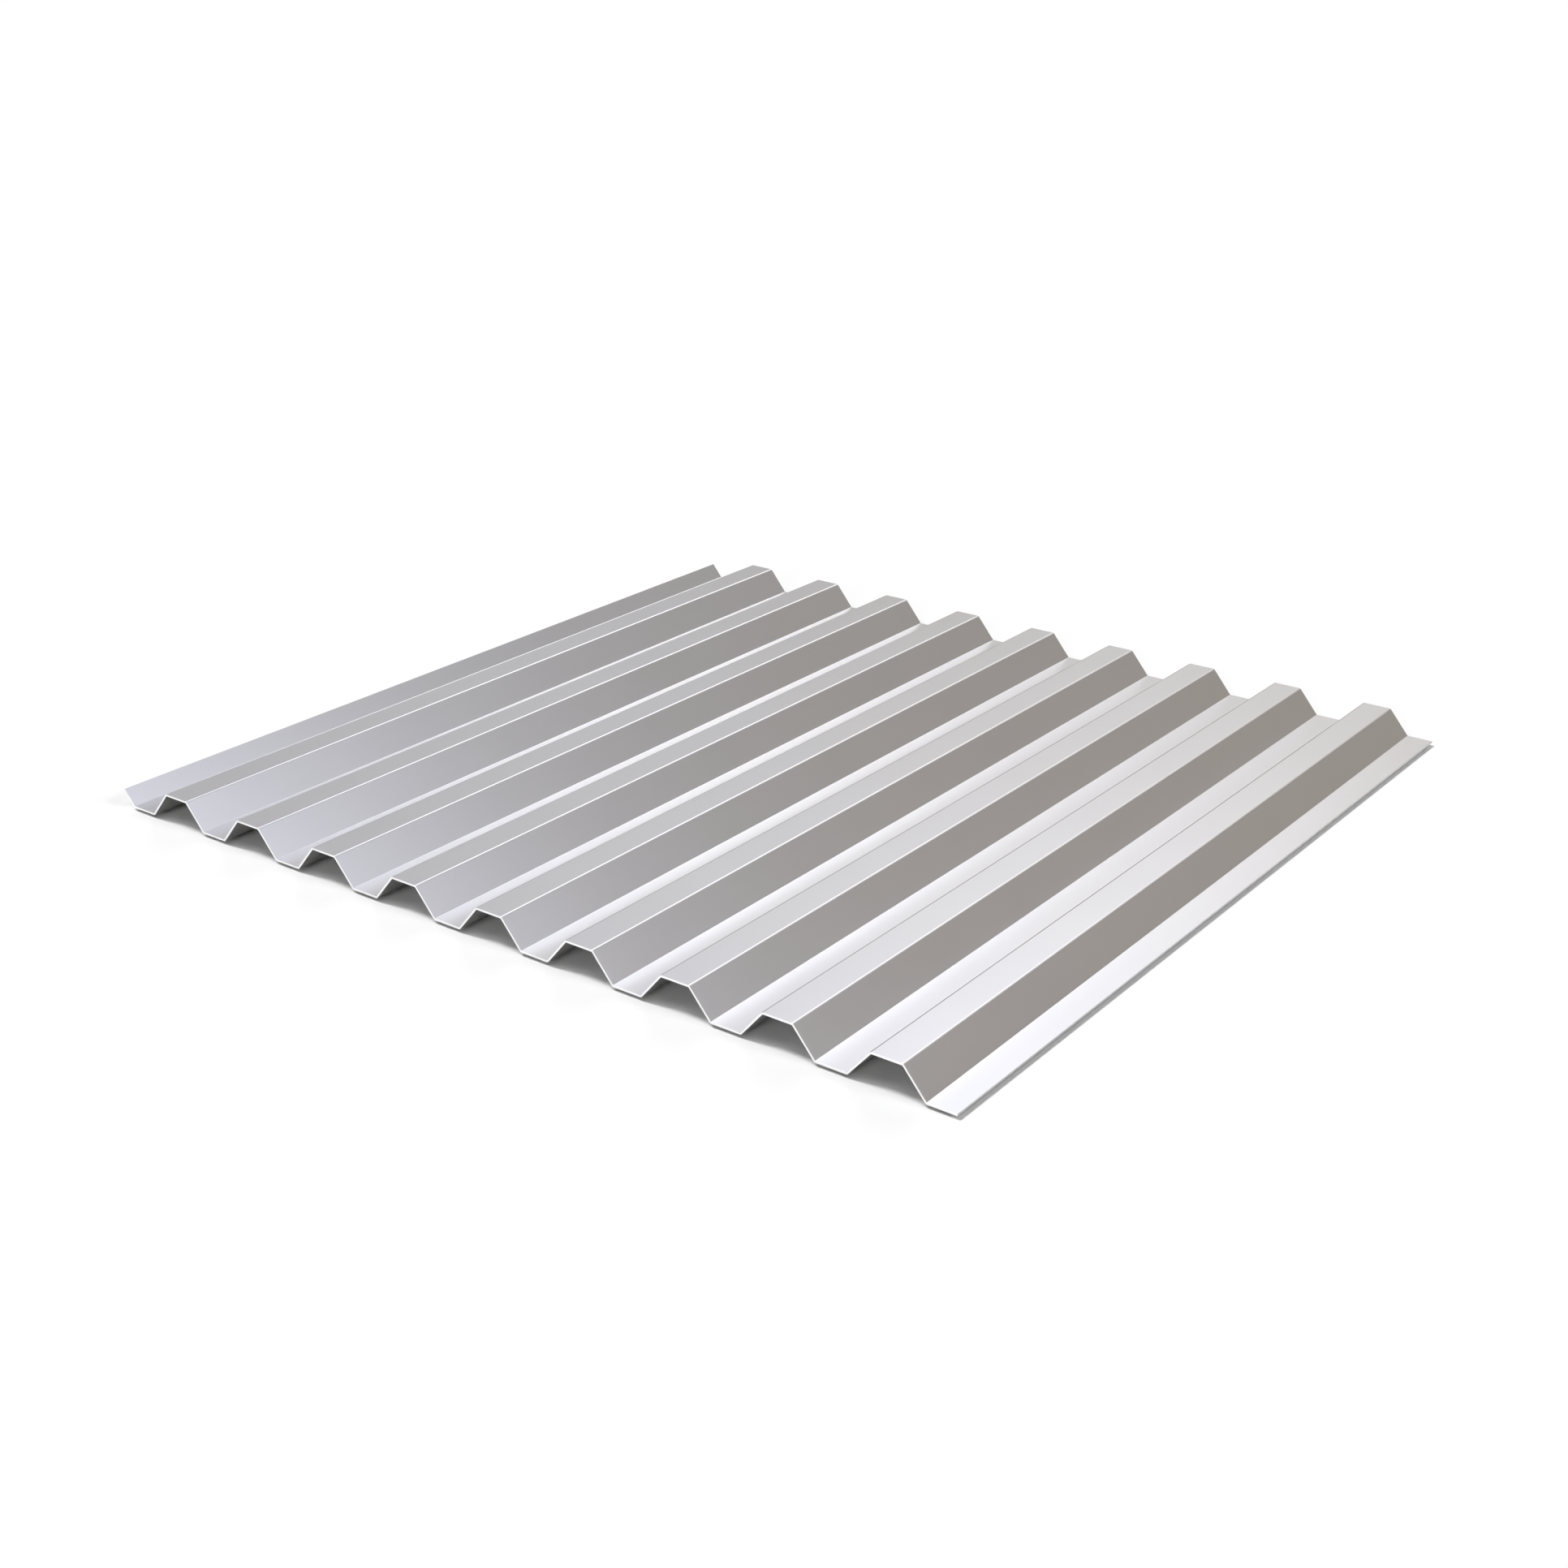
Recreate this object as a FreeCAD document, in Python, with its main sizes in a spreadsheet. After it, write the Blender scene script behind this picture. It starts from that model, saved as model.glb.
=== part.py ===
# Ribbed steel floor decking sheet, rolled in one piece from galvanised coil.
# Frame: X across the ribs with the flat lapping flange at +X, Y along the ribs, Z up.
# The origin is the bottom centre of the sheet. Sizes are in millimetres.
import FreeCAD, Part
import math
import os
import Sketcher

SIZES = {
    "sheet_length": 918.0,      # cut length, along the ribs
    "rib_count": 9,             # full ribs across the sheet
    "rib_spacing": 101.6,       # centre to centre of neighbouring ribs
    "rib_depth": 25.4,          # top of a valley to top of a rib
    "crest_width": 29.8,        # flat top of a rib, between its theoretical fold lines
    "web_run": 21.4,            # how far a sloping web reaches sideways
    "steel_thickness": 1.8,
    "bend_radius": 0.8,         # inside radius of every fold
    "flange_width": 27.0,       # flat past the last web, which goes under the next sheet
    "lip_rise": 15.0,           # how high the part-web of the lapping edge climbs
}

# Distances across the sheet, from the middle of the first rib
FOOT = "(sizes.crest_width / 2 + sizes.web_run)"
MID_VALLEY = "(sizes.rib_spacing / 2)"
LIP_FOOT = "(sizes.rib_spacing - " + FOOT + ")"
LIP_TOP = "(" + LIP_FOOT + " + sizes.lip_rise * sizes.web_run / sizes.rib_depth)"
WEB_LENGTH = "sqrt(sizes.web_run ^ 2 + sizes.rib_depth ^ 2)"
LIP_REACH = "(" + LIP_TOP + " + sizes.steel_thickness * sizes.rib_depth / " + WEB_LENGTH + ")"
LAST_RIB = "((sizes.rib_count - 1) * sizes.rib_spacing)"
FLANGE_REACH = "(" + LAST_RIB + " + " + FOOT + " + sizes.flange_width)"

# Heights of the upper face
VALLEY_TOP = "sizes.steel_thickness"
CREST_TOP = "(sizes.steel_thickness + sizes.rib_depth)"
LIP_EDGE = "(sizes.steel_thickness + sizes.lip_rise)"

# Positions of a sketch edge's start, end and centre, and the sketch's origin
START, END, CENTRE = 1, 2, 3
SKETCH_ORIGIN = (-1, START)


def add_sizes(doc):
    """Put the driving sizes in a sheet, one plain number to an alias."""
    sheet = doc.addObject("Spreadsheet::Sheet", "sizes")
    for row, (name, value) in enumerate(SIZES.items(), start=1):
        sheet.set(f"A{row}", name)
        sheet.set(f"B{row}", str(value))
        sheet.setAlias(f"B{row}", name)
    doc.recompute()


def origin_feature(body, role):
    """Return the plane or axis of the body's own origin that has this role."""
    return next(item for item in body.Origin.OriginFeatures if item.Role == role)


def bind(sketch, kind, places, expression):
    """Add a dimension between the places and tie it to the sheet."""
    value = float(sketch.evalExpression(expression))
    number = sketch.addConstraint(Sketcher.Constraint(kind, *places, value))
    sketch.setExpression(f"Constraints[{number}]", expression)


def fold_arcs(before, fold, after, inside_radius, thickness):
    """Arcs of the upper and lower face where the strip turns at a theoretical fold point.

    Each arc comes with the positions of its two ends in the order of the strip.
    """
    way_in = math.atan2(fold.y - before.y, fold.x - before.x)
    way_out = math.atan2(after.y - fold.y, after.x - fold.x)
    folds_up = way_out > way_in
    side = 1 if folds_up else -1
    upper = inside_radius if folds_up else inside_radius + thickness
    lower = inside_radius + thickness if folds_up else inside_radius
    setback = upper * math.tan(abs(way_out - way_in) / 2)
    along = FreeCAD.Vector(math.cos(way_in), math.sin(way_in), 0)
    inward = FreeCAD.Vector(-along.y, along.x, 0) * side
    centre = fold - along * setback + inward * upper
    angles = sorted((way_in - side * math.pi / 2, way_out - side * math.pi / 2))
    ends = (START, END) if folds_up else (END, START)
    circles = [Part.Circle(centre, FreeCAD.Vector(0, 0, 1), radius) for radius in (upper, lower)]
    return [(Part.ArcOfCircle(circle, *angles), ends) for circle in circles]


def below(run, depth):
    """Step square to a run of the upper face, down into the steel."""
    return FreeCAD.Vector(run.y, -run.x, 0) * depth


def place_of(arc, position):
    """Return the end of an arc that has this position."""
    return arc.StartPoint if position == START else arc.EndPoint


def draw_strip(sketch, path):
    """Draw the section of a bent strip of sheet.

    The path lists the (across, up) expressions of the strip's start, its theoretical fold
    points and its end, from left to right along the upper face.
    """
    thickness = float(sketch.evalExpression("sizes.steel_thickness"))
    radius = float(sketch.evalExpression("sizes.bend_radius"))
    points = [FreeCAD.Vector(*(float(sketch.evalExpression(item)) for item in pair), 0) for pair in path]
    folds = [fold_arcs(*points[i - 1:i + 2], radius, thickness) for i in range(1, len(points) - 1)]
    first_run = (points[1] - points[0]).normalize()
    last_run = (points[-1] - points[-2]).normalize()
    faces = []
    for face, depth in enumerate((0, thickness)):
        arcs = [fold[face] for fold in folds]
        starts = [points[0] + below(first_run, depth)]
        starts += [place_of(arc, positions[1]) for arc, positions in arcs]
        stops = [place_of(arc, positions[0]) for arc, positions in arcs]
        stops += [points[-1] + below(last_run, depth)]
        lines = [sketch.addGeometry(Part.LineSegment(a, b), False) for a, b in zip(starts, stops)]
        bends = [(sketch.addGeometry(arc, False), positions) for arc, positions in arcs]
        for i, (bend, (first, last)) in enumerate(bends):
            sketch.addConstraint(Sketcher.Constraint("Tangent", lines[i], END, bend, first))
            sketch.addConstraint(Sketcher.Constraint("Tangent", bend, last, lines[i + 1], START))
        faces.append((lines, bends))
    (upper, upper_bends), (lower, lower_bends) = faces
    for side, position in ((0, START), (-1, END)):
        top = sketch.getPoint(upper[side], position)
        bottom = sketch.getPoint(lower[side], position)
        edge = sketch.addGeometry(Part.LineSegment(top, bottom), False)
        sketch.addConstraint(Sketcher.Constraint("Coincident", edge, START, upper[side], position))
        sketch.addConstraint(Sketcher.Constraint("Coincident", edge, END, lower[side], position))
        sketch.addConstraint(Sketcher.Constraint("Perpendicular", edge, upper[side]))
    bind(sketch, "Distance", (edge,), "sizes.steel_thickness")
    for over, under in zip(upper, lower):
        sketch.addConstraint(Sketcher.Constraint("Parallel", over, under))
    for (over, ends), (under, _) in zip(upper_bends, lower_bends):
        sketch.addConstraint(Sketcher.Constraint("Coincident", over, CENTRE, under, CENTRE))
        inner = over if ends == (START, END) else under
        bind(sketch, "Radius", (inner,), "sizes.bend_radius")
    anchors = [(upper[0], START)]
    for i, point in enumerate(points[1:-1]):
        sharp = sketch.addGeometry(Part.Point(point), True)
        sketch.addConstraint(Sketcher.Constraint("PointOnObject", sharp, START, upper[i]))
        sketch.addConstraint(Sketcher.Constraint("PointOnObject", sharp, START, upper[i + 1]))
        anchors.append((sharp, START))
    anchors.append((upper[-1], END))
    for anchor, (across, up) in zip(anchors, path):
        bind(sketch, "DistanceX", SKETCH_ORIGIN + anchor, across)
        bind(sketch, "DistanceY", SKETCH_ORIGIN + anchor, up)


def add_strip(body, name, path):
    """Add a strip of the sheet to the body: its section, and a pad as long as the sheet."""
    sketch = body.newObject("Sketcher::SketchObject", name + "_section")
    sketch.AttachmentSupport = [(origin_feature(body, "XZ_Plane"), "")]
    sketch.MapMode = "FlatFace"
    draw_strip(sketch, path)
    body.Document.recompute()
    pad = body.newObject("PartDesign::Pad", name)
    pad.Profile = sketch
    pad.SideType = "Symmetric"
    pad.setExpression("Length", "sizes.sheet_length")
    pad.Refine = True
    body.Document.recompute()
    return pad


def add_ribs(body):
    """Roll one rib with half a valley on each side, and repeat it across the sheet."""
    rib = add_strip(body, "rib", [
        ("-" + MID_VALLEY, VALLEY_TOP),
        ("-" + FOOT, VALLEY_TOP),
        ("-sizes.crest_width / 2", CREST_TOP),
        ("sizes.crest_width / 2", CREST_TOP),
        (FOOT, VALLEY_TOP),
        (MID_VALLEY, VALLEY_TOP),
    ])
    ribs = body.newObject("PartDesign::LinearPattern", "ribs")
    ribs.Originals = [rib]
    ribs.Direction = (origin_feature(body, "X_Axis"), [""])
    ribs.setExpression("Length", LAST_RIB)
    ribs.setExpression("Occurrences", "sizes.rib_count")
    ribs.Refine = True
    body.Tip = ribs
    body.Document.recompute()


def add_lapping_lip(body):
    """Add the other half of the first valley, and the part-web that laps the sheet before."""
    add_strip(body, "lapping_lip", [
        ("-" + LIP_TOP, LIP_EDGE),
        ("-" + LIP_FOOT, VALLEY_TOP),
        ("-" + MID_VALLEY, VALLEY_TOP),
    ])


def add_flange(body):
    """Add the rest of the flat flange that goes under the sheet after."""
    add_strip(body, "flange", [
        (LAST_RIB + " + " + MID_VALLEY, VALLEY_TOP),
        (FLANGE_REACH, VALLEY_TOP),
    ])


def add_deck_sheet(doc):
    """Roll the whole sheet, and centre it on the origin."""
    body = doc.addObject("PartDesign::Body", "deck_sheet")
    body.Label = "deck_sheet"
    add_ribs(body)
    add_lapping_lip(body)
    add_flange(body)
    body.setExpression(".Placement.Base.x", "(" + LIP_REACH + " - " + FLANGE_REACH + ") / 2")
    doc.recompute()
    return body


def check(doc, pieces):
    """Stop if any object failed to build, or a piece is missing or broken."""
    for item in doc.Objects:
        if "Invalid" in item.State or "Error" in item.State:
            raise RuntimeError(f"{item.Name} failed: {item.State}")
    for piece in pieces:
        if piece.Shape.isNull() or not piece.Shape.isValid() or len(piece.Shape.Solids) != 1:
            raise RuntimeError(f"{piece.Label} isn't one sound solid")


doc = FreeCAD.newDocument("floor_decking_sheet")
add_sizes(doc)
pieces = [add_deck_sheet(doc)]
check(doc, pieces)
os.makedirs("parts", exist_ok=True)
for piece in pieces:
    piece.Shape.exportStep(f"parts/{piece.Label}.step")
    box = piece.Shape.BoundBox
    print(piece.Label, "volume", round(piece.Shape.Volume, 1), "mm3, box", box)
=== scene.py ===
"""A ribbed steel floor decking sheet, dressed in galvanised steel for a plain studio picture."""
import logging
import math
from dataclasses import dataclass, field
from enum import Enum

import bmesh
import bpy
from mathutils import Euler, Matrix, Vector


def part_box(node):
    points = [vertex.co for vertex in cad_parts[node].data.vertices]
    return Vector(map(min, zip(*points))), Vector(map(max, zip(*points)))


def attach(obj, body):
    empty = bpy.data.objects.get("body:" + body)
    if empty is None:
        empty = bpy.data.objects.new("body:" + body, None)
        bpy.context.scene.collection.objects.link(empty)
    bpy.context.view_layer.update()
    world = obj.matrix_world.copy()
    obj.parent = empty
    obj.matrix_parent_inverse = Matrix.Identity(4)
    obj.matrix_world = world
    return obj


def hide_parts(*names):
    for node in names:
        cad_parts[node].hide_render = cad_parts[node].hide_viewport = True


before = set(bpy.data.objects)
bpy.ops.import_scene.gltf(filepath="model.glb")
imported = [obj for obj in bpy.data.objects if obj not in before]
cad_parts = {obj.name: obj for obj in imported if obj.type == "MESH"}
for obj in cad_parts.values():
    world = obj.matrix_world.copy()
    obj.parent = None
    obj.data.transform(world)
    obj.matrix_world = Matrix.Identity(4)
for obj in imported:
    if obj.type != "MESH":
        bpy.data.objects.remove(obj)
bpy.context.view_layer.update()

MM = 0.001
log = logging.getLogger("deck")


class Skin(Enum):
    """Which finish a face of the sheet wears, as its material slot number."""

    COATED = 0
    SHEARED = 1


def new_tree(material: bpy.types.Material) -> bpy.types.NodeTree:
    """Empty a material's node tree.

    Args:
        material: The material to start afresh.

    Returns:
        Its node tree, with no nodes.
    """
    material.use_nodes = True
    material.node_tree.nodes.clear()
    return material.node_tree


@dataclass(frozen=True)
class RolledGrain:
    """The faint clouds, lines and speckle of rolled steel, as masks for the finishes."""

    name: str = "rolled_grain"
    cloud_scale: float = 9.0
    cloud_detail: float = 3.0
    line_scale: float = 900.0
    line_detail: float = 2.0
    line_stretch: float = 0.02
    speckle_scale: float = 140.0
    speckle_detail: float = 4.0

    def group(self) -> bpy.types.NodeTree:
        """Build the shader node group once.

        Returns:
            The group: coordinates in, cloud mask, line mask and speckle mask out.
        """
        if self.name in bpy.data.node_groups:
            return bpy.data.node_groups[self.name]
        tree = bpy.data.node_groups.new(self.name, "ShaderNodeTree")
        tree.interface.new_socket("Coordinates", in_out="INPUT", socket_type="NodeSocketVector")
        for output in ("Clouds", "Lines", "Speckle"):
            tree.interface.new_socket(output, in_out="OUTPUT", socket_type="NodeSocketFloat")
        nodes, links = tree.nodes, tree.links
        start = nodes.new("NodeGroupInput")
        end = nodes.new("NodeGroupOutput")
        clouds = nodes.new("ShaderNodeTexNoise")
        clouds.inputs["Scale"].default_value = self.cloud_scale
        clouds.inputs["Detail"].default_value = self.cloud_detail
        stretch = nodes.new("ShaderNodeMapping")
        stretch.inputs["Scale"].default_value = (1.0, self.line_stretch, 1.0)
        lines = nodes.new("ShaderNodeTexNoise")
        lines.inputs["Scale"].default_value = self.line_scale
        lines.inputs["Detail"].default_value = self.line_detail
        speckle = nodes.new("ShaderNodeTexNoise")
        speckle.inputs["Scale"].default_value = self.speckle_scale
        speckle.inputs["Detail"].default_value = self.speckle_detail
        links.new(start.outputs["Coordinates"], clouds.inputs["Vector"])
        links.new(start.outputs["Coordinates"], speckle.inputs["Vector"])
        links.new(start.outputs["Coordinates"], stretch.inputs["Vector"])
        links.new(stretch.outputs["Vector"], lines.inputs["Vector"])
        links.new(clouds.outputs["Fac"], end.inputs["Clouds"])
        links.new(lines.outputs["Fac"], end.inputs["Lines"])
        links.new(speckle.outputs["Fac"], end.inputs["Speckle"])
        return tree


@dataclass(frozen=True)
class Galvanised:
    """Smooth zinc-coated steel, as it comes off the coil."""

    name: str = "galvanised_steel"
    tint: tuple[float, float, float] = (0.58, 0.58, 0.58)
    tint_spread: float = 0.03
    roughness: float = 0.30
    roughness_spread: float = 0.02

    def material(self) -> bpy.types.Material:
        """Make the material.

        Returns:
            The finished material.
        """
        material = bpy.data.materials.new(self.name)
        tree = new_tree(material)
        nodes, links = tree.nodes, tree.links
        coordinates = nodes.new("ShaderNodeTexCoord")
        grain = nodes.new("ShaderNodeGroup")
        grain.node_tree = RolledGrain().group()
        tone = nodes.new("ShaderNodeMix")
        tone.data_type = "RGBA"
        tone.inputs["A"].default_value = (*(c * (1.0 - self.tint_spread) for c in self.tint), 1.0)
        tone.inputs["B"].default_value = (*(c * (1.0 + self.tint_spread) for c in self.tint), 1.0)
        sheen = nodes.new("ShaderNodeMapRange")
        sheen.inputs["To Min"].default_value = self.roughness - self.roughness_spread
        sheen.inputs["To Max"].default_value = self.roughness + self.roughness_spread
        metal = nodes.new("ShaderNodeBsdfPrincipled")
        metal.inputs["Metallic"].default_value = 1.0
        out = nodes.new("ShaderNodeOutputMaterial")
        links.new(coordinates.outputs["Object"], grain.inputs["Coordinates"])
        links.new(grain.outputs["Clouds"], tone.inputs["Factor"])
        links.new(tone.outputs["Result"], metal.inputs["Base Color"])
        links.new(grain.outputs["Lines"], sheen.inputs["Value"])
        links.new(sheen.outputs["Result"], metal.inputs["Roughness"])
        links.new(metal.outputs["BSDF"], out.inputs["Surface"])
        return material


@dataclass(frozen=True)
class Sheared:
    """Bright bare steel where the sheet was cut to length."""

    name: str = "sheared_steel"
    dull_tint: tuple[float, float, float] = (0.94, 0.94, 0.94)
    bright_tint: tuple[float, float, float] = (1.0, 1.0, 1.0)
    roughness: float = 0.30

    def material(self) -> bpy.types.Material:
        """Make the material.

        Returns:
            The finished material.
        """
        material = bpy.data.materials.new(self.name)
        tree = new_tree(material)
        nodes, links = tree.nodes, tree.links
        coordinates = nodes.new("ShaderNodeTexCoord")
        grain = nodes.new("ShaderNodeGroup")
        grain.node_tree = RolledGrain().group()
        tone = nodes.new("ShaderNodeMix")
        tone.data_type = "RGBA"
        tone.inputs["A"].default_value = (*self.dull_tint, 1.0)
        tone.inputs["B"].default_value = (*self.bright_tint, 1.0)
        metal = nodes.new("ShaderNodeBsdfPrincipled")
        metal.inputs["Metallic"].default_value = 1.0
        metal.inputs["Roughness"].default_value = self.roughness
        out = nodes.new("ShaderNodeOutputMaterial")
        links.new(coordinates.outputs["Object"], grain.inputs["Coordinates"])
        links.new(grain.outputs["Speckle"], tone.inputs["Factor"])
        links.new(tone.outputs["Result"], metal.inputs["Base Color"])
        links.new(metal.outputs["BSDF"], out.inputs["Surface"])
        return material


@dataclass
class DeckSheet:
    """The sheet itself: nine ribs, a part-web that laps one neighbour and a flange for the other."""

    node: str = "deck_sheet"
    rib_count: int = 9
    rib_spacing: float = 101.6 * MM
    rib_depth: float = 25.4 * MM
    crest_width: float = 29.8 * MM
    web_run: float = 21.4 * MM
    thickness: float = 1.8 * MM
    bend_radius: float = 0.8 * MM
    flange_width: float = 27.0 * MM
    lip_rise: float = 15.0 * MM
    fold_steps: int = 8
    edge_rounding: float = 0.3 * MM
    rounding_steps: int = 3
    corner_turn: float = math.radians(60.0)
    end_tilt: float = math.radians(5.0)
    wide_face_weight: int = 100
    low: Vector = field(default_factory=lambda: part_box("deck_sheet")[0])
    high: Vector = field(default_factory=lambda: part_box("deck_sheet")[1])

    @property
    def foot(self) -> float:
        """Distance from the middle of a rib to the fold at the foot of its web."""
        return self.crest_width / 2 + self.web_run

    @property
    def web_angle(self) -> float:
        """Slope of a web, which is also how far each fold turns."""
        return math.atan2(self.rib_depth, self.web_run)

    def rib_middle(self, number: int) -> float:
        """Place of a rib across the sheet.

        Args:
            number: The rib's number, from 0 at the lapping lip.

        Returns:
            The X of the rib's middle.
        """
        last = self.high.x - self.flange_width - self.foot
        return last - (self.rib_count - 1 - number) * self.rib_spacing

    def path(self) -> list[tuple[float, float]]:
        """Trace the upper face across the sheet, with its folds still sharp.

        Returns:
            The (across, up) places of the lip's edge, every fold, and the flange's edge.
        """
        valley, crest = self.thickness, self.thickness + self.rib_depth
        lip_foot = self.rib_middle(0) - self.rib_spacing + self.foot
        lip_reach = self.lip_rise * self.web_run / self.rib_depth
        places = [(lip_foot - lip_reach, valley + self.lip_rise), (lip_foot, valley)]
        for number in range(self.rib_count):
            middle = self.rib_middle(number)
            places.append((middle - self.foot, valley))
            places.append((middle - self.crest_width / 2, crest))
            places.append((middle + self.crest_width / 2, crest))
            places.append((middle + self.foot, valley))
        places.append((self.high.x, valley))
        return places

    def build(self) -> bpy.types.Object:
        """Roll the sheet: draw its upper face, round the folds, and give the steel its thickness.

        Returns:
            The sheet's object, with no material yet.
        """
        mesh = bmesh.new()
        corners = [mesh.verts.new((across, self.low.y, up)) for across, up in self.path()]
        line = [mesh.edges.new(pair) for pair in zip(corners, corners[1:])]
        swept = bmesh.ops.extrude_edge_only(mesh, edges=line)["geom"]
        far_end = [item for item in swept if isinstance(item, bmesh.types.BMVert)]
        bmesh.ops.translate(mesh, verts=far_end, vec=(0.0, self.high.y - self.low.y, 0.0))
        if mesh.faces[:][0].normal.z < 0:
            bmesh.ops.reverse_faces(mesh, faces=mesh.faces[:])
        self.round_folds(mesh)
        self.thicken(mesh)
        data = bpy.data.meshes.new("galvanised_sheet")
        mesh.to_mesh(data)
        mesh.free()
        data.shade_smooth()
        sheet = bpy.data.objects.new("galvanised_sheet", data)
        bpy.context.scene.collection.objects.link(sheet)
        weighted = sheet.modifiers.new("flat_faces_stay_flat", "WEIGHTED_NORMAL")
        weighted.weight = self.wide_face_weight
        return sheet

    def round_folds(self, mesh: bmesh.types.BMesh) -> None:
        """Round every fold: tight on its inside, and wider by the steel's thickness outside.

        Args:
            mesh: The sheet's upper face, with sharp folds.
        """
        middle_height = self.thickness + self.rib_depth / 2
        folds = [edge for edge in mesh.edges if len(edge.link_faces) == 2]
        valley = [edge for edge in folds if edge.verts[0].co.z < middle_height]
        crest = [edge for edge in folds if edge.verts[0].co.z > middle_height]
        self.fold(mesh, valley, self.bend_radius)
        self.fold(mesh, crest, self.bend_radius + self.thickness)

    def fold(self, mesh: bmesh.types.BMesh, edges: list[bmesh.types.BMEdge], radius: float) -> None:
        """Round some of the sharp folds.

        Args:
            mesh: The sheet's upper face.
            edges: The folds to round.
            radius: Radius of the rounded face.
        """
        setback = radius * math.tan(self.web_angle / 2)
        bmesh.ops.bevel(mesh, geom=edges, offset=setback, offset_type="OFFSET", segments=self.fold_steps,
                        profile=0.5, affect="EDGES", clamp_overlap=False, material=-1)

    def thicken(self, mesh: bmesh.types.BMesh) -> None:
        """Give the sheet its lower face and its edges, and take the sharpness off those.

        The two ends are bare where the sheet was sheared. The long edges are coated like the faces.

        Args:
            mesh: The sheet's upper face, with rounded folds.
        """
        mesh.normal_update()
        upper = set(mesh.faces)
        bmesh.ops.solidify(mesh, geom=mesh.faces[:], thickness=self.thickness)
        mesh.normal_update()
        edge_faces = [face for face in mesh.faces if face not in upper
                      and any(other in upper for edge in face.edges for other in edge.link_faces)]
        for face in edge_faces:
            face.material_index = Skin.SHEARED.value
        rims = [edge for edge in mesh.edges
                if len({face.material_index for face in edge.link_faces}) == 2]
        corners = [edge for face in edge_faces for edge in face.edges
                   if edge.calc_face_angle(0.0) > self.corner_turn]
        bmesh.ops.bevel(mesh, geom=list(dict.fromkeys(rims + corners)), offset=self.edge_rounding,
                        offset_type="OFFSET", segments=self.rounding_steps, profile=0.5, affect="EDGES",
                        clamp_overlap=False, material=Skin.SHEARED.value)
        mesh.normal_update()
        for face in mesh.faces:
            if abs(face.normal.y) < math.sin(self.end_tilt):
                face.material_index = Skin.COATED.value

    def dress(self, sheet: bpy.types.Object) -> None:
        """Give the sheet its finishes and tie it to the frame.

        Args:
            sheet: The sheet's object.
        """
        sheet.data.materials.append(Galvanised().material())
        sheet.data.materials.append(Sheared().material())
        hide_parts(self.node)
        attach(sheet, "root")


def sky_direction(azimuth: float, elevation: float) -> Vector:
    """Point at a place in the surroundings.

    Args:
        azimuth: Degrees from +Y towards +X.
        elevation: Degrees above the floor.

    Returns:
        The unit vector towards it.
    """
    across, up = math.radians(azimuth), math.radians(elevation)
    return Vector((math.sin(across) * math.cos(up), math.cos(across) * math.cos(up), math.sin(up)))


@dataclass(frozen=True)
class Glow:
    """A soft round patch of brightness in the studio's surroundings.

    Its place is an azimuth, in degrees from +Y towards +X, and an elevation. It is even out to its
    core and fades away at its reach, both half-angles in degrees.
    """

    name: str
    azimuth: float
    elevation: float
    core: float
    reach: float
    colour: tuple[float, float, float]

    def add_to(self, tree: bpy.types.NodeTree, towards: bpy.types.NodeSocket,
               total: bpy.types.NodeSocket) -> bpy.types.NodeSocket:
        """Add the patch to the light that comes from a direction.

        Args:
            tree: The surroundings' node tree.
            towards: The socket that gives the direction.
            total: The socket that gives the light without this patch.

        Returns:
            The socket that gives the light with it.
        """
        facing = tree.nodes.new("ShaderNodeVectorMath")
        facing.operation = "DOT_PRODUCT"
        facing.inputs[1].default_value = sky_direction(self.azimuth, self.elevation)
        patch = tree.nodes.new("ShaderNodeMapRange")
        patch.label = self.name
        patch.interpolation_type = "SMOOTHSTEP"
        patch.inputs["From Min"].default_value = math.cos(math.radians(self.reach))
        patch.inputs["From Max"].default_value = math.cos(math.radians(self.core))
        tinted = tree.nodes.new("ShaderNodeVectorMath")
        tinted.operation = "SCALE"
        tinted.inputs[0].default_value = self.colour
        added = tree.nodes.new("ShaderNodeVectorMath")
        added.operation = "ADD"
        tree.links.new(towards, facing.inputs[0])
        tree.links.new(facing.outputs["Value"], patch.inputs["Value"])
        tree.links.new(patch.outputs["Result"], tinted.inputs["Scale"])
        tree.links.new(total, added.inputs[0])
        tree.links.new(tinted.outputs["Vector"], added.inputs[1])
        return added.outputs["Vector"]


@dataclass(frozen=True)
class Lamp:
    """A broad far lamp whose own reflection doesn't show in the steel.

    Its place is given as a glow's is, and its width is the whole angle that it fills, in degrees.
    """

    name: str
    azimuth: float
    elevation: float
    width: float
    strength: float

    def shine(self) -> bpy.types.Object:
        """Hang the lamp.

        Returns:
            The lamp's object.
        """
        data = bpy.data.lights.new(self.name, "SUN")
        data.angle = math.radians(self.width)
        data.energy = self.strength
        lamp = bpy.data.objects.new(self.name, data)
        lamp.rotation_euler = sky_direction(self.azimuth, self.elevation).to_track_quat("Z", "Y").to_euler()
        lamp.visible_glossy = False
        bpy.context.scene.collection.objects.link(lamp)
        return lamp


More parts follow.
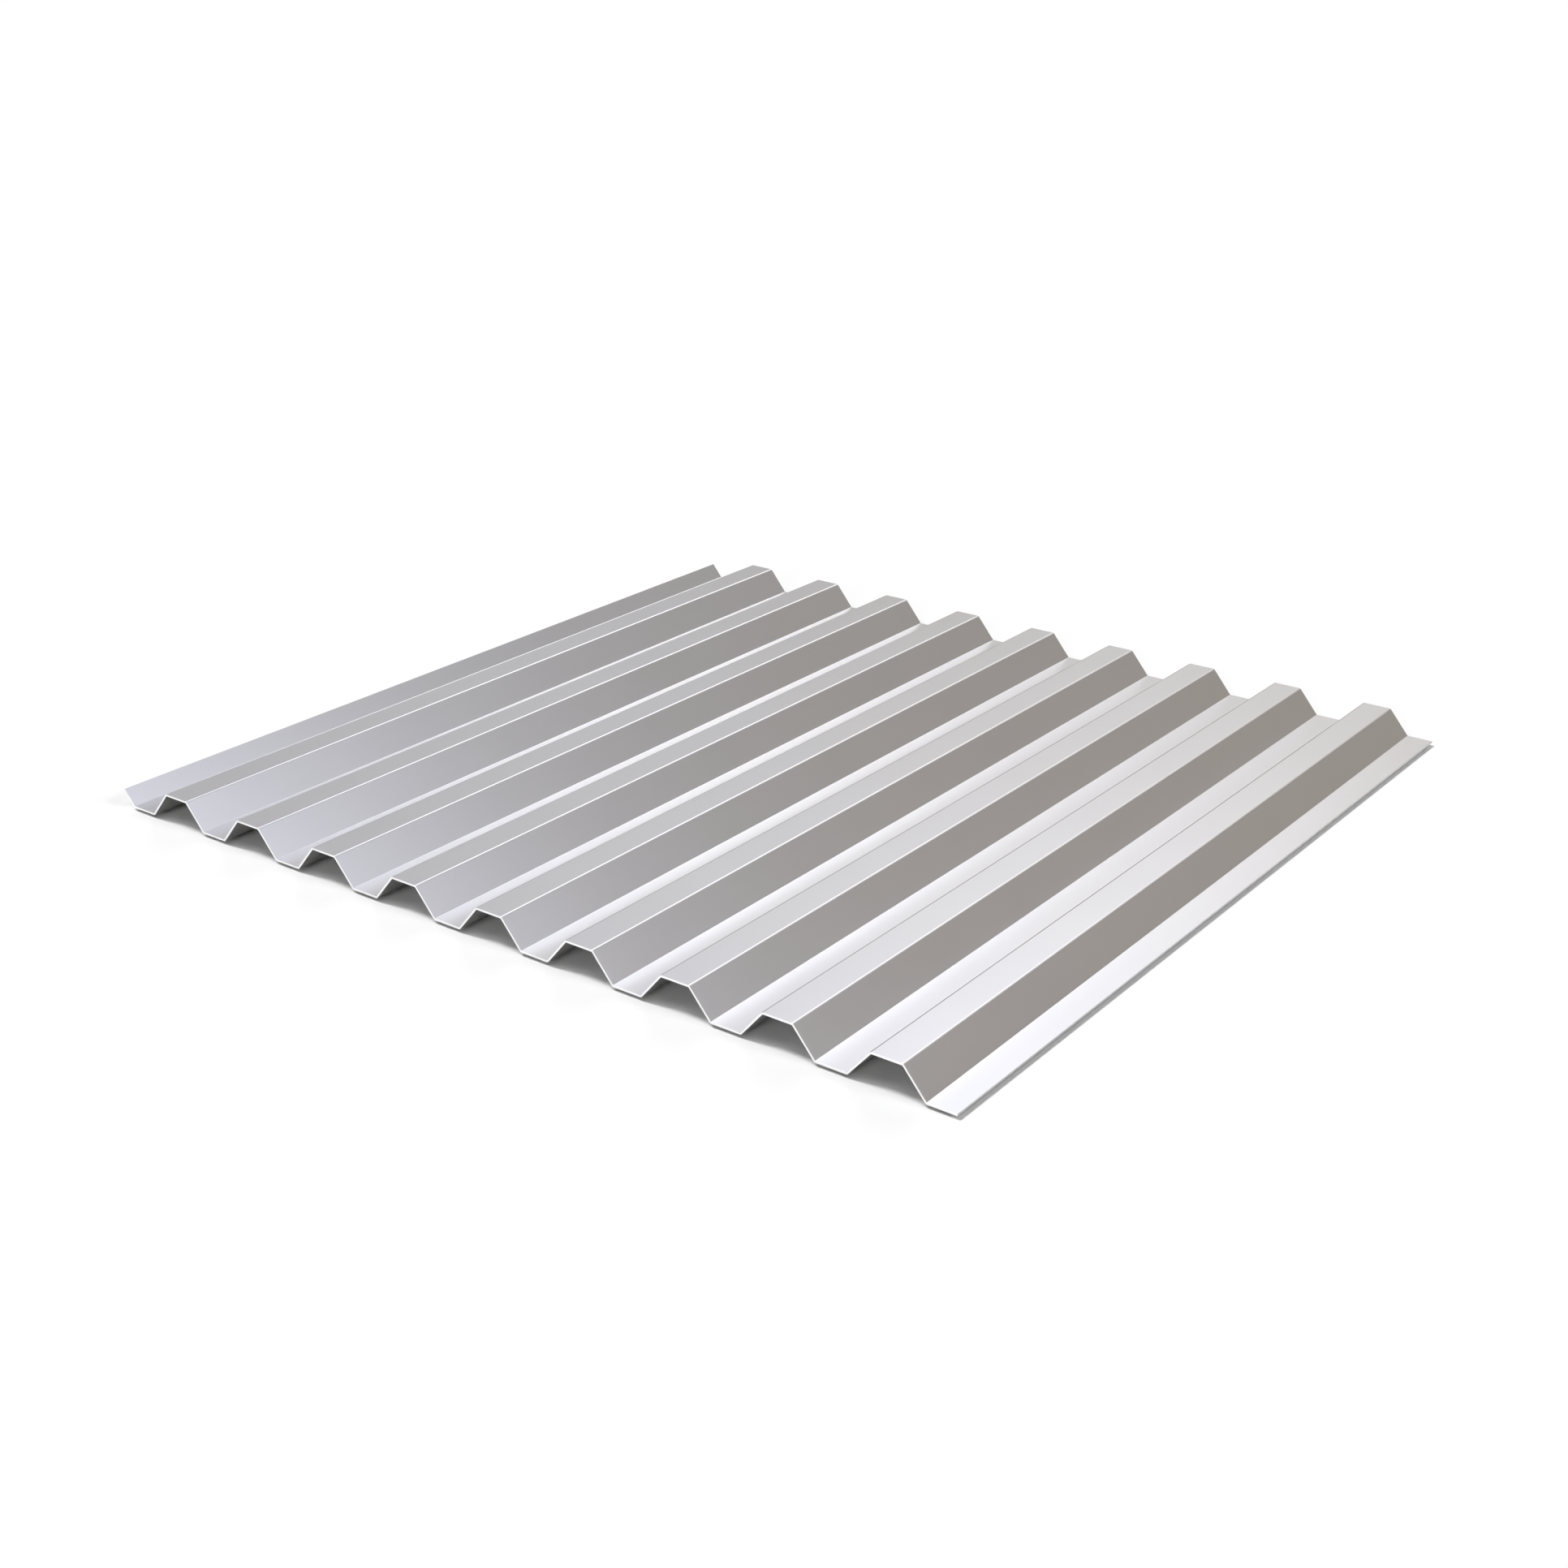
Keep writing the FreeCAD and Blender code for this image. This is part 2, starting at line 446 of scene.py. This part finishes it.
@dataclass
class Studio:
    """A pale floor, soft light from all round, and the camera."""

    ambient: tuple[float, float, float] = (0.29, 0.27, 0.215)
    glows: tuple[Glow, ...] = (
        Glow("key", -23.0, 41.0, 6.0, 14.0, (0.53, 0.63, 0.97)),
        Glow("heart_of_key", -23.0, 41.0, 1.0, 8.0, (1.35, 1.40, 1.33)),
        Glow("upper_right_of_key", -14.0, 45.0, 3.0, 11.0, (1.71, 1.56, 1.19)),
        Glow("upper_left_of_key", -38.0, 46.0, 4.0, 14.0, (1.16, 1.13, 1.38)),
        Glow("left_of_key", -32.0, 35.0, 4.0, 14.0, (0.53, 0.54, 0.53)),
        Glow("below_key", -24.0, 28.0, 4.0, 14.0, (0.67, 0.64, 0.66)),
        Glow("lower_right_of_key", -12.0, 34.0, 3.0, 12.0, (0.885, 0.83, 0.75)),
        Glow("right_of_key", 12.0, 38.0, 3.0, 12.0, (0.82, 0.87, 1.04)),
        Glow("far_window", 8.0, 29.0, 2.0, 14.0, (0.27, 0.23, 0.235)),
        Glow("right", 62.0, 38.0, 14.0, 15.0, (2.03, 2.085, 2.50)),
        Glow("far_corner", 30.0, 16.0, 6.0, 16.0, (0.24, 0.20, 0.21)),
        Glow("left", -52.0, 22.0, 8.0, 20.0, (0.42, 0.43, 0.50)),
        Glow("overhead", -110.0, 85.0, 28.0, 58.0, (0.48, 0.50, 0.63)),
        Glow("behind", -160.0, 25.0, 35.0, 75.0, (0.70, 0.70, 0.70)),
    )
    lamps: tuple[Lamp, ...] = (
        Lamp("main_lamp", -108.0, 60.0, 14.0, 2.11),
        Lamp("front_left_lamp", -136.0, 45.0, 25.0, 0.32),
        Lamp("front_right_lamp", 125.0, 60.0, 25.0, 0.50),
        Lamp("left_fill", -28.0, 28.0, 22.0, 0.46),
        Lamp("right_fill", 80.0, 29.0, 22.0, 0.92),
        Lamp("low_fill", 170.0, 14.0, 25.0, 0.57),
    )
    reach: float = 30.0
    floor_drop: float = 3.1 * MM
    floor_tint: tuple[float, float, float] = (0.97, 0.97, 0.97)
    dome_tint: tuple[float, float, float] = (1.0, 1.0, 1.0)
    dome_rings: int = 32
    lens: float = 50.26
    sensor_width: float = 36.0
    camera_place: Vector = field(default_factory=lambda: Vector((1.1991, -1.6426, 0.8474)))
    camera_tilt: float = 67.08
    camera_turn: float = 36.63
    camera_roll: float = 0.10
    camera_sees: tuple[float, float] = (0.05, 200.0)

    def camera(self) -> bpy.types.Object:
        """Set up the camera.

        Returns:
            The camera's object.
        """
        data = bpy.data.cameras.new("camera")
        data.lens = self.lens
        data.sensor_width = self.sensor_width
        data.sensor_fit = "HORIZONTAL"
        data.clip_start, data.clip_end = self.camera_sees
        camera = bpy.data.objects.new("camera", data)
        turn = Euler((math.radians(self.camera_tilt), 0.0, math.radians(self.camera_turn))).to_matrix()
        roll = Matrix.Rotation(math.radians(self.camera_roll), 3, "Z")
        camera.rotation_euler = (turn @ roll).to_euler()
        camera.location = self.camera_place
        bpy.context.scene.collection.objects.link(camera)
        bpy.context.scene.camera = camera
        return camera

    def stand(self, name: str, mesh: bmesh.types.BMesh, shader: str,
              tint: tuple[float, float, float]) -> bpy.types.Object:
        """Put up one plain piece of the studio.

        Args:
            name: Name of the piece and of its material.
            mesh: Its shape, which is used up.
            shader: Type of its one shader node.
            tint: That shader's colour.

        Returns:
            The piece's object.
        """
        data = bpy.data.meshes.new(name)
        mesh.to_mesh(data)
        mesh.free()
        piece = bpy.data.objects.new(name, data)
        bpy.context.scene.collection.objects.link(piece)
        material = bpy.data.materials.new(name)
        tree = new_tree(material)
        plain = tree.nodes.new(shader)
        plain.inputs["Color"].default_value = (*tint, 1.0)
        out = tree.nodes.new("ShaderNodeOutputMaterial")
        tree.links.new(plain.outputs[0], out.inputs["Surface"])
        data.materials.append(material)
        return piece

    def floor(self) -> bpy.types.Object:
        """Lay the floor.

        Returns:
            The floor's object.
        """
        mesh = bmesh.new()
        under = Matrix.Translation((0.0, 0.0, -self.floor_drop))
        bmesh.ops.create_grid(mesh, x_segments=1, y_segments=1, size=self.reach, matrix=under)
        floor = self.stand("floor", mesh, "ShaderNodeBsdfDiffuse", self.floor_tint)
        return floor

    def backdrop(self) -> bpy.types.Object:
        """Close the studio off with a white dome, which only the camera sees.

        Returns:
            The dome's object.
        """
        mesh = bmesh.new()
        bmesh.ops.create_uvsphere(mesh, u_segments=2 * self.dome_rings, v_segments=self.dome_rings,
                                  radius=self.reach)
        dome = self.stand("backdrop", mesh, "ShaderNodeEmission", self.dome_tint)
        dome.data.materials[0].cycles.emission_sampling = "NONE"
        dome.visible_diffuse = False
        dome.visible_glossy = False
        dome.visible_shadow = False
        return dome

    def light(self) -> None:
        """Light the studio: lamps for the floor, and glows for the steel to reflect."""
        for lamp in self.lamps:
            lamp.shine()
        world = bpy.data.worlds.new("studio")
        bpy.context.scene.world = world
        world.cycles_visibility.diffuse = False
        world.use_nodes = True
        tree = world.node_tree
        tree.nodes.clear()
        coordinates = tree.nodes.new("ShaderNodeTexCoord")
        even = tree.nodes.new("ShaderNodeCombineXYZ")
        for socket, value in zip(even.inputs, self.ambient):
            socket.default_value = value
        total = even.outputs["Vector"]
        for glow in self.glows:
            total = glow.add_to(tree, coordinates.outputs["Generated"], total)
        background = tree.nodes.new("ShaderNodeBackground")
        out = tree.nodes.new("ShaderNodeOutputWorld")
        tree.links.new(total, background.inputs["Color"])
        tree.links.new(background.outputs["Background"], out.inputs["Surface"])
        bpy.context.scene.view_settings.view_transform = "Standard"


def main() -> None:
    """Build the sheet and the studio."""
    logging.basicConfig(level=logging.INFO, format="%(name)s: %(message)s")
    deck = DeckSheet()
    sheet = deck.build()
    deck.dress(sheet)
    log.info("%s: %d faces", sheet.name, len(sheet.data.polygons))
    studio = Studio()
    for piece in (studio.floor(), studio.backdrop()):
        log.info("%s: put up", piece.name)
    studio.light()
    studio.camera()


if __name__ == "__main__":
    main()
